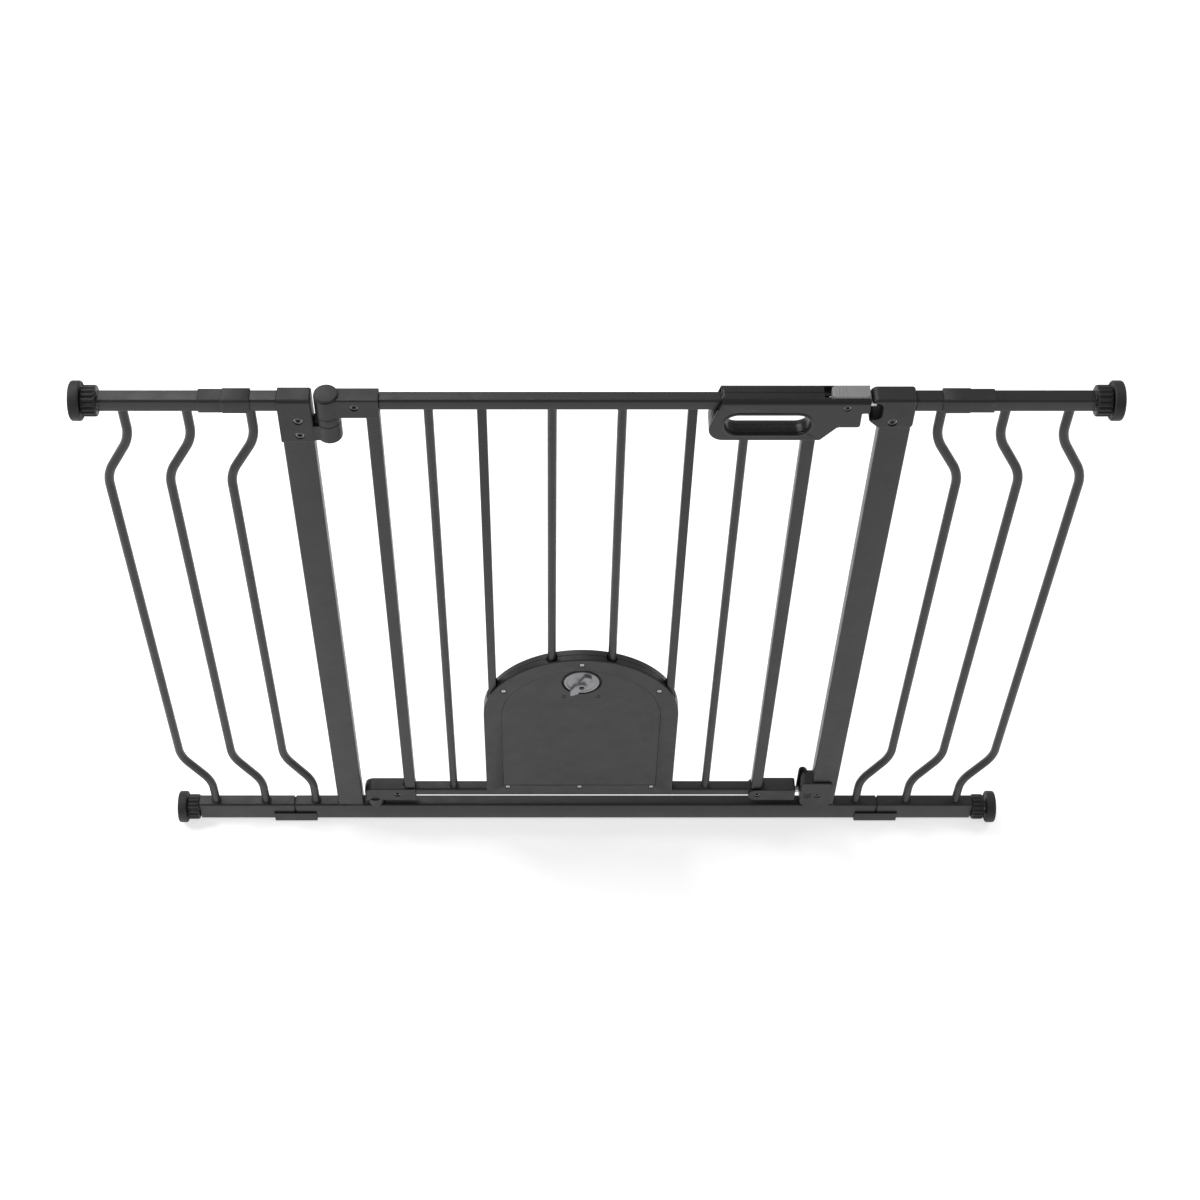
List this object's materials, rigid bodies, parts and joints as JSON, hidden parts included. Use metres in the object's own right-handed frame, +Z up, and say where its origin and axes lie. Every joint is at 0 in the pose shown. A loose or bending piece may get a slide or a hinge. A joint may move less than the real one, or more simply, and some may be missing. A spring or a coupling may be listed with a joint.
{
  "type": "pet gate",
  "caption": "Pressure-mounted pet gate with side extensions, a swinging latched door and a small hinged pet flap with a turn lock.",
  "frame": {"origin": "on the floor, in the middle of the gate's width and of its depth", "axes": "+X along the gate's width towards the latch side, -Y towards the user in front of it, +Z up"},
  "size_m": [0.9839, 0.038, 0.7605],
  "materials": {
    "painted_steel": "satin grey powder coat",
    "grey_plastic": "fine moulded texture, dark grey",
    "flap_plastic": "fine moulded texture, dark grey",
    "handle_plastic": "semi-gloss, darker grey",
    "light_plastic": "smooth light grey",
    "pad_rubber": "matt",
    "bare_steel": "zinc plated"
  },
  "bodies": {
    "frame": {"bottom_catch": "grey_plastic", "bottom_clip_left": "grey_plastic", "bottom_clip_right": "grey_plastic", "bottom_rail": "painted_steel", "extension_bar_inner_left": "painted_steel", "extension_bar_inner_right": "painted_steel", "extension_bar_outer_left": "painted_steel", "extension_bar_outer_right": "painted_steel", "extension_bottom_left": "painted_steel", "extension_bottom_right": "painted_steel", "extension_top_left": "painted_steel", "extension_top_right": "painted_steel", "frame_bar_left": "painted_steel", "frame_bar_right": "painted_steel", "hinge_bracket": "grey_plastic", "hinge_cam": "grey_plastic", "lower_hinge_stud": "bare_steel", "post_left": "painted_steel", "post_right": "painted_steel", "strike_bracket": "grey_plastic", "top_sleeve_left": "grey_plastic", "top_sleeve_right": "grey_plastic", "top_stub_left": "painted_steel", "top_stub_right": "painted_steel"},
    "door": {"bottom_pin": "bare_steel", "door_bar_1": "painted_steel", "door_bar_2": "painted_steel", "door_bar_3": "painted_steel", "door_bar_4": "painted_steel", "door_post_left": "painted_steel", "door_post_right": "painted_steel", "door_rail_bottom": "painted_steel", "door_rail_top": "painted_steel", "flap_upright_left": "painted_steel", "flap_upright_right": "painted_steel", "handle_front": "handle_plastic", "handle_rear": "handle_plastic", "hinge_arm": "grey_plastic", "lower_left_cap": "grey_plastic", "lower_right_cap": "grey_plastic", "surround_front": "flap_plastic", "surround_rear": "flap_plastic", "upper_hinge_pin": "bare_steel"},
    "latch": {"latch_button": "light_plastic", "latch_bolt": "bare_steel"},
    "flap": {"pet_flap": "flap_plastic"},
    "flap_lock": {"flap_knob": "light_plastic", "flap_tongue": "bare_steel"},
    "nut_top_left": {"nut_top_left": "grey_plastic"},
    "pad_top_left": {"pad_top_left": "pad_rubber", "spindle_top_left": "bare_steel"},
    "nut_top_right": {"nut_top_right": "grey_plastic"},
    "pad_top_right": {"pad_top_right": "pad_rubber", "spindle_top_right": "bare_steel"},
    "nut_bottom_left": {"nut_bottom_left": "grey_plastic"},
    "pad_bottom_left": {"pad_bottom_left": "pad_rubber", "spindle_bottom_left": "bare_steel"},
    "nut_bottom_right": {"nut_bottom_right": "grey_plastic"},
    "pad_bottom_right": {"pad_bottom_right": "pad_rubber", "spindle_bottom_right": "bare_steel"}
  },
  "joints": [
    {"name": "door_swing", "type": "hinge", "parent": "frame", "child": "door", "pos_m": [-0.252, 0, 0], "axis": [0, 0, -1], "range_deg": [0, 90]},
    {"name": "latch_slide", "type": "slide", "parent": "door", "child": "latch", "axis": [-1, 0, 0], "range_m": [0, 0.0065], "stiffness_N_per_m": 300, "springref_m": -0.006},
    {"name": "flap_swing", "type": "hinge", "parent": "door", "child": "flap", "pos_m": [-0.0978, -0.0075, 0], "axis": [0, 0, -1], "range_deg": [0, 90]},
    {"name": "flap_lock_turn", "type": "hinge", "parent": "flap", "child": "flap_lock", "pos_m": [-0.0082, 0, 0.292], "axis": [0, -1, 0], "range_deg": [0, 90]},
    {"name": "nut_spin_top_left", "type": "hinge", "parent": "frame", "child": "nut_top_left", "pos_m": [-0.4727, 0, 0.7415], "axis": [1, 0, 0], "range_deg": [0, 3601]},
    {"name": "pad_slide_top_left", "type": "slide", "parent": "frame", "child": "pad_top_left", "axis": [-1, 0, 0], "range_m": [0, 0.02]},
    {"name": "nut_spin_top_right", "type": "hinge", "parent": "frame", "child": "nut_top_right", "pos_m": [0.4727, 0, 0.7415], "axis": [-1, 0, 0], "range_deg": [0, 3601]},
    {"name": "pad_slide_top_right", "type": "slide", "parent": "frame", "child": "pad_top_right", "axis": [1, 0, 0], "range_m": [0, 0.02]},
    {"name": "nut_spin_bottom_left", "type": "hinge", "parent": "frame", "child": "nut_bottom_left", "pos_m": [-0.4727, 0, 0.019], "axis": [1, 0, 0], "range_deg": [0, 3601]},
    {"name": "pad_slide_bottom_left", "type": "slide", "parent": "frame", "child": "pad_bottom_left", "axis": [-1, 0, 0], "range_m": [0, 0.02]},
    {"name": "nut_spin_bottom_right", "type": "hinge", "parent": "frame", "child": "nut_bottom_right", "pos_m": [0.4727, 0, 0.019], "axis": [-1, 0, 0], "range_deg": [0, 3601]},
    {"name": "pad_slide_bottom_right", "type": "slide", "parent": "frame", "child": "pad_bottom_right", "axis": [1, 0, 0], "range_m": [0, 0.02]}
  ],
  "couplings": [
    {"joint": "nut_spin_top_left", "follows": "pad_slide_top_left", "rad_per_m": 3141.6},
    {"joint": "nut_spin_top_right", "follows": "pad_slide_top_right", "rad_per_m": 3141.6},
    {"joint": "nut_spin_bottom_left", "follows": "pad_slide_bottom_left", "rad_per_m": 3141.6},
    {"joint": "nut_spin_bottom_right", "follows": "pad_slide_bottom_right", "rad_per_m": 3141.6}
  ]
}
